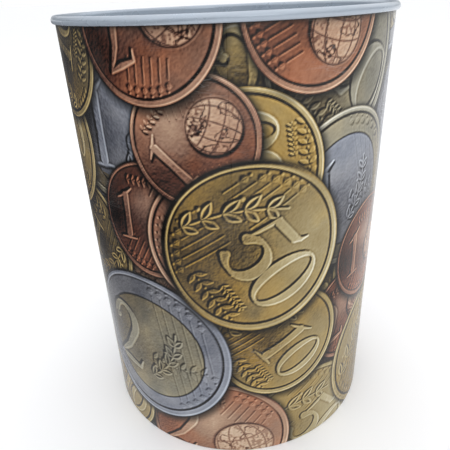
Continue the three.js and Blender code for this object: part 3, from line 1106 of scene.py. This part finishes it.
def makeTopEnd():
    rim = tin["rimRadius"] / mm
    top = tin["top"] / mm
    columns = topEnd["columns"]
    sheet = wall["sheet"]
    panel, ring, groove = topEnd["panel"], topEnd["ring"], topEnd["groove"]
    under = top - tin["seamHeight"] / mm
    low = panel - topEnd["lip"]
    raised, chuck = topEnd["raisedRadius"], topEnd["chuck"]
    inside, outside = topEnd["grooveInner"], topEnd["grooveOuter"]
    upper = roundedOutline([
        (raised - 6, panel), (raised, panel, 0.5), (raised + 0.8, ring, 0.5), (inside - 0.4, ring, 0.6),
        (inside + 0.5, groove, 0.7), (outside - 0.4, groove, 0.9), (chuck - 0.05, top - 5.0, 0.8),
        (chuck, top - 0.9, 0.5), (chuck + 0.35, top - 0.24, 0.35), (50.05, top, 0.35), (50.30, top, 0.3),
        (rim - 0.30, top - 0.45, 0.4), (rim - 0.03, top - 0.95, 0.4), (rim - 0.02, under + 0.6, 0.35),
        (rim - 0.34, under, 0.3), (50.02, under + 0.02, 0.05),
    ], closed=False)
    lower = roundedOutline([
        (49.72, under + 0.1, 0.05), (chuck + sheet, under - 0.3, 0.1), (outside, groove - sheet, 0.8),
        (inside, groove - sheet, 0.8), (inside - 0.6, ring - sheet, 0.6), (raised + 0.6, ring - sheet, 0.5),
        (raised - 0.4, panel - sheet, 0.5), (raised - 6, panel - sheet),
    ], closed=False)
    # Rings of points: up the slot's wall, out over the panel and the seam, and back underneath to the slot.
    above = [(0.0, low)] + [(i, panel - d) for i, d in zip(topEnd["slotInset"], topEnd["slotDrop"])]
    below = [(sheet + 0.5, panel - sheet), (sheet + 0.1, panel - sheet - 0.15), (sheet, panel - 0.6)]
    below.append((sheet, low))
    rows = [slotRow(offset, z) for offset, z in above]
    edge = rows[-1]
    circle = turnedGrid(upper[:1], columns)[0]
    flat = topEnd["flatRings"]
    rows += [edge + (circle - edge) * k / flat for k in range(1, flat)]
    rows += list(turnedGrid(upper, columns))
    rows += list(turnedGrid(lower, columns))
    rows += [slotRow(offset, z) for offset, z in below]
    quads = gridFaces(len(rows), columns, True, True)[:, ::-1]
    mesh = makeMesh("top_end_skin", np.concatenate(rows), quads)
    addPiece(mesh, [lacquerMaterial], "white_lacquer", "tin", "top_end")


# The base: a pan gripped in the hem, with a step and a collared hole.
baseEnd = {
    "skirt": 49.40,
    "skirtFoot": 0.42,
    "ring": 5.275,  # underside of the outer ring
    "step": 0.9,
    "stepRadius": 41.0,
    "hole": 19.30,
    "collarTop": 8.5,
    "columns": 240,
}


def makeBaseEnd():
    sheet = wall["sheet"]
    skirt, foot = baseEnd["skirt"], baseEnd["skirtFoot"]
    hole, collar = baseEnd["hole"], baseEnd["collarTop"]
    low = baseEnd["ring"]
    high = low + baseEnd["step"]
    step = baseEnd["stepRadius"]
    outline = roundedOutline([
        (skirt, foot), (skirt + sheet, foot), (skirt + sheet, low + sheet, 0.5),
        (step + 0.6, low + sheet, 0.5), (step - 0.4, high + sheet, 0.5), (hole + sheet, high + sheet, 0.5),
        (hole + sheet, collar, 0.1), (hole, collar, 0.1), (hole, high, 0.5), (step - 0.5, high, 0.5),
        (step + 0.4, low, 0.5), (skirt, low, 0.6),
    ])
    mesh = turnedMesh("base_end_skin", outline, baseEnd["columns"])
    addPiece(mesh, [tinplateMaterial], "bare_tinplate", "tin", "base_end")


# The rubbery stopper: a flange with a finger dish, and a hollow plug with a snap bead.
stopper = {
    "flange": 24.0,
    "flangeBottom": 3.4,
    "flangeTop": 6.075,
    "dish": 15.3,
    "dishTop": 4.7,
    "plug": 18.9,
    "plugTop": 13.4,
    "bead": 19.15,
    "beadHeight": 10.2,
    "bore": 17.1,
    "boreBottom": 6.1,
    "columns": 144,
}


def makeStopper():
    flange, dish, plug, bore = stopper["flange"], stopper["dish"], stopper["plug"], stopper["bore"]
    low, high, top = stopper["flangeBottom"], stopper["flangeTop"], stopper["plugTop"]
    roof, bead, floor = stopper["dishTop"], stopper["beadHeight"], stopper["boreBottom"]
    outline = roundedOutline([
        (0, roof), (dish - 0.9, roof, 0.6), (dish, low, 0.5), (flange, low, 0.5), (flange, high, 0.45),
        (plug, high, 0.4), (plug, bead - 0.8, 0.5), (stopper["bead"], bead, 0.4), (plug, bead + 0.8, 0.4),
        (plug - 0.6, top, 0.3), (bore, top, 0.4), (bore, floor, 0.8), (0, floor),
    ], closed=False)
    mesh = turnedSolid("stopper_plug", outline, stopper["columns"])
    addPiece(mesh, [plasticMaterial], "stopper_plastic", "stopper", "stopper")


# The grip across the dish: a bar with rounded ends and a crowned underside.
grip = {
    "halfLength": 13.2,
    "halfWidth": 2.0,
    "crown": ((0.0, 4.9), (0.0, 3.1), (0.12, 2.8), (0.4, 2.58), (0.8, 2.5)),  # inset and height of each ring
    "columns": 96,
}


def makeGrip():
    columns = grip["columns"]
    angles = np.arange(columns) / columns * 2 * math.pi
    straight = grip["halfLength"] - grip["halfWidth"]
    rows = []
    for inset, z in grip["crown"]:
        radius = grip["halfWidth"] - inset
        x = np.cos(angles) * radius + np.sign(np.cos(angles)) * straight
        rows.append(np.column_stack([x, np.sin(angles) * radius, np.full(columns, z)]))
    quads = gridFaces(len(rows), columns, False, True)[:, ::-1]
    last = (len(rows) - 1) * columns
    ends = [np.arange(columns), (np.arange(columns) + last)[::-1]]
    mesh = makeMesh("stopper_grip", np.concatenate(rows), quads, ends)
    addPiece(mesh, [plasticMaterial], "stopper_plastic", "stopper", "stopper")


makeWall()
makeHem()
makeTopEnd()
makeBaseEnd()
makeStopper()
makeGrip()
print("pieces made")

# Floor, lights and camera. All in metres.
studio = {
    "floorRadius": 60.0,
    "floorTone": (0.93, 0.93, 0.93),
    "clearing": 0.94,  # the floor is clear inside this many wall radii, under the tin
    "leftPaintedReflection": (0.10, 0.10, 0.11),  # painted dark reflection: glossy rays see the floor this dark on the left, which shades the tin's left side
    "leftStart": (-0.08, -0.14),  # from where that begins to where it is full
    "backdrop": (1.0, 1.0, 1.0),  # what is seen straight behind the tin
    "edge": (0.96, 0.97, 0.98),  # bright band where the floor meets the walls
    "leftWall": (0.10, 0.11, 0.12),
    "rightWall": (0.36, 0.38, 0.40),
    "zenith": (1.46, 1.47, 1.50),
    "aimHeight": 0.06,
    "lights": (  # name, place, size, watts and colour
        ("key", (0.45, -1.10, 0.75), 0.6, 1.6, (1.0, 0.99, 0.97)),
        ("fill", (-0.95, -0.70, 0.60), 0.5, 0.4, (0.97, 0.98, 1.0)),
        ("top", (0.1, 0.15, 1.3), 1.1, 1.4, (1.0, 1.0, 1.0)),
        ("backLeft", (-0.5, 1.1, 0.8), 0.8, 1.4, (1.0, 1.0, 1.0)),
        ("backRight", (0.9, 0.8, 0.7), 0.8, 1.2, (1.0, 1.0, 1.0)),
    ),
}

view = {
    "distance": 3.1075 * tin["wallRadius"],
    "height": 2.8078 * tin["wallRadius"],
    "yaw": math.radians(-0.785),
    "pitch": math.radians(27.41),
    "roll": math.radians(2.54),
    "lens": 36.37,
    "shift": (-0.0061, 0.0156),
}


def makeFloor():
    corners = 64
    angles = [k * 2 * math.pi / corners for k in range(corners)]
    ring = [(studio["floorRadius"] * math.cos(a), studio["floorRadius"] * math.sin(a), 0) for a in angles]
    mesh = bpy.data.meshes.new("floor")
    mesh.from_pydata(ring, [], [tuple(range(corners))])
    material, tree, shader = newMaterial("studioFloor")
    place = addNode(tree, "ShaderNodeTexCoord").outputs["Object"]
    mottle = rangeNode(tree, noiseNode(tree, place, 9.0, 3.0, 0.5), 0.3, 0.7)
    tone = studio["floorTone"]
    pale = mixColour(tree, mottle, tone, tuple(c * 0.985 for c in tone))
    # Painted reflection: for glossy rays only, the floor on the left turns dark, so the tin's left side
    # mirrors shade.
    rays = addNode(tree, "ShaderNodeLightPath")
    sideways = addNode(tree, "ShaderNodeSeparateXYZ")
    tree.links.new(place, sideways.inputs[0])
    left = rangeNode(tree, sideways.outputs["X"], *studio["leftStart"])
    paintedDarkReflection = scaled(tree, left, rays.outputs["Is Glossy Ray"])
    tree.links.new(mixColour(tree, paintedDarkReflection, pale, studio["leftPaintedReflection"]), shader.inputs["Base Color"])
    setInputs(shader, Roughness=0.8, Specular_IOR_Level=0.2)
    # The floor is clear from below, and clear under the tin, so that the base can be seen and gets light.
    above = mathNode(tree, "SUBTRACT", 1.0, addNode(tree, "ShaderNodeNewGeometry").outputs["Backfacing"])
    reach = addNode(tree, "ShaderNodeVectorMath", operation="LENGTH")
    tree.links.new(place, reach.inputs[0])
    clearing = studio["clearing"] * tin["wallRadius"]
    solid = rangeNode(tree, reach.outputs["Value"], clearing, clearing + mm)
    tree.links.new(scaled(tree, above, solid), shader.inputs["Alpha"])
    mesh.materials.append(material)
    floor = bpy.data.objects.new("floor", mesh)
    bpy.context.scene.collection.objects.link(floor)


def makeLights():
    for name, place, size, power, tone in studio["lights"]:
        lamp = bpy.data.lights.new(name, "AREA")
        lamp.shape = "SQUARE"
        lamp.size = size
        lamp.energy = power
        lamp.color = tone
        holder = bpy.data.objects.new(name, lamp)
        holder.location = place
        holder.visible_camera = False
        aim = Vector((0, 0, studio["aimHeight"])) - Vector(place)
        holder.rotation_euler = aim.to_track_quat("-Z", "Y").to_euler()
        bpy.context.scene.collection.objects.link(holder)
    world = bpy.data.worlds.new("studio")
    bpy.context.scene.world = world
    world.use_nodes = True
    tree = world.node_tree
    direction = addNode(tree, "ShaderNodeSeparateXYZ")
    tree.links.new(addNode(tree, "ShaderNodeTexCoord").outputs["Generated"], direction.inputs[0])
    sideways = rangeNode(tree, direction.outputs["X"], -0.8, 0.8)
    walls = mixColour(tree, sideways, studio["leftWall"], studio["rightWall"])
    low = mixColour(tree, rangeNode(tree, direction.outputs["Z"], 0.02, 0.14), studio["edge"], walls)
    sky = mixColour(tree, rangeNode(tree, direction.outputs["Z"], 0.25, 0.8), low, studio["zenith"])
    rays = addNode(tree, "ShaderNodeLightPath")
    shown = mixColour(tree, rays.outputs["Is Camera Ray"], sky, studio["backdrop"])
    tree.links.new(shown, tree.nodes["Background"].inputs["Color"])
    bpy.context.scene.view_settings.view_transform = "Standard"


def makeCamera():
    yaw, pitch, roll = view["yaw"], view["pitch"], view["roll"]
    ahead = Vector((math.sin(yaw) * math.cos(pitch), math.cos(yaw) * math.cos(pitch), -math.sin(pitch)))
    across = Vector((math.cos(yaw), -math.sin(yaw), 0))
    upward = across.cross(ahead)
    right = across * math.cos(roll) - upward * math.sin(roll)
    over = across * math.sin(roll) + upward * math.cos(roll)
    lens = bpy.data.cameras.new("camera")
    lens.lens = view["lens"]
    lens.sensor_width = 36.0
    lens.shift_x, lens.shift_y = view["shift"]
    lens.clip_start = 0.005
    camera = bpy.data.objects.new("camera", lens)
    turn = Matrix((right, over, -ahead)).transposed()
    camera.matrix_world = Matrix.Translation((0, -view["distance"], view["height"])) @ turn.to_4x4()
    bpy.context.scene.collection.objects.link(camera)
    bpy.context.scene.camera = camera


makeFloor()
makeLights()
makeCamera()
print("studio made")
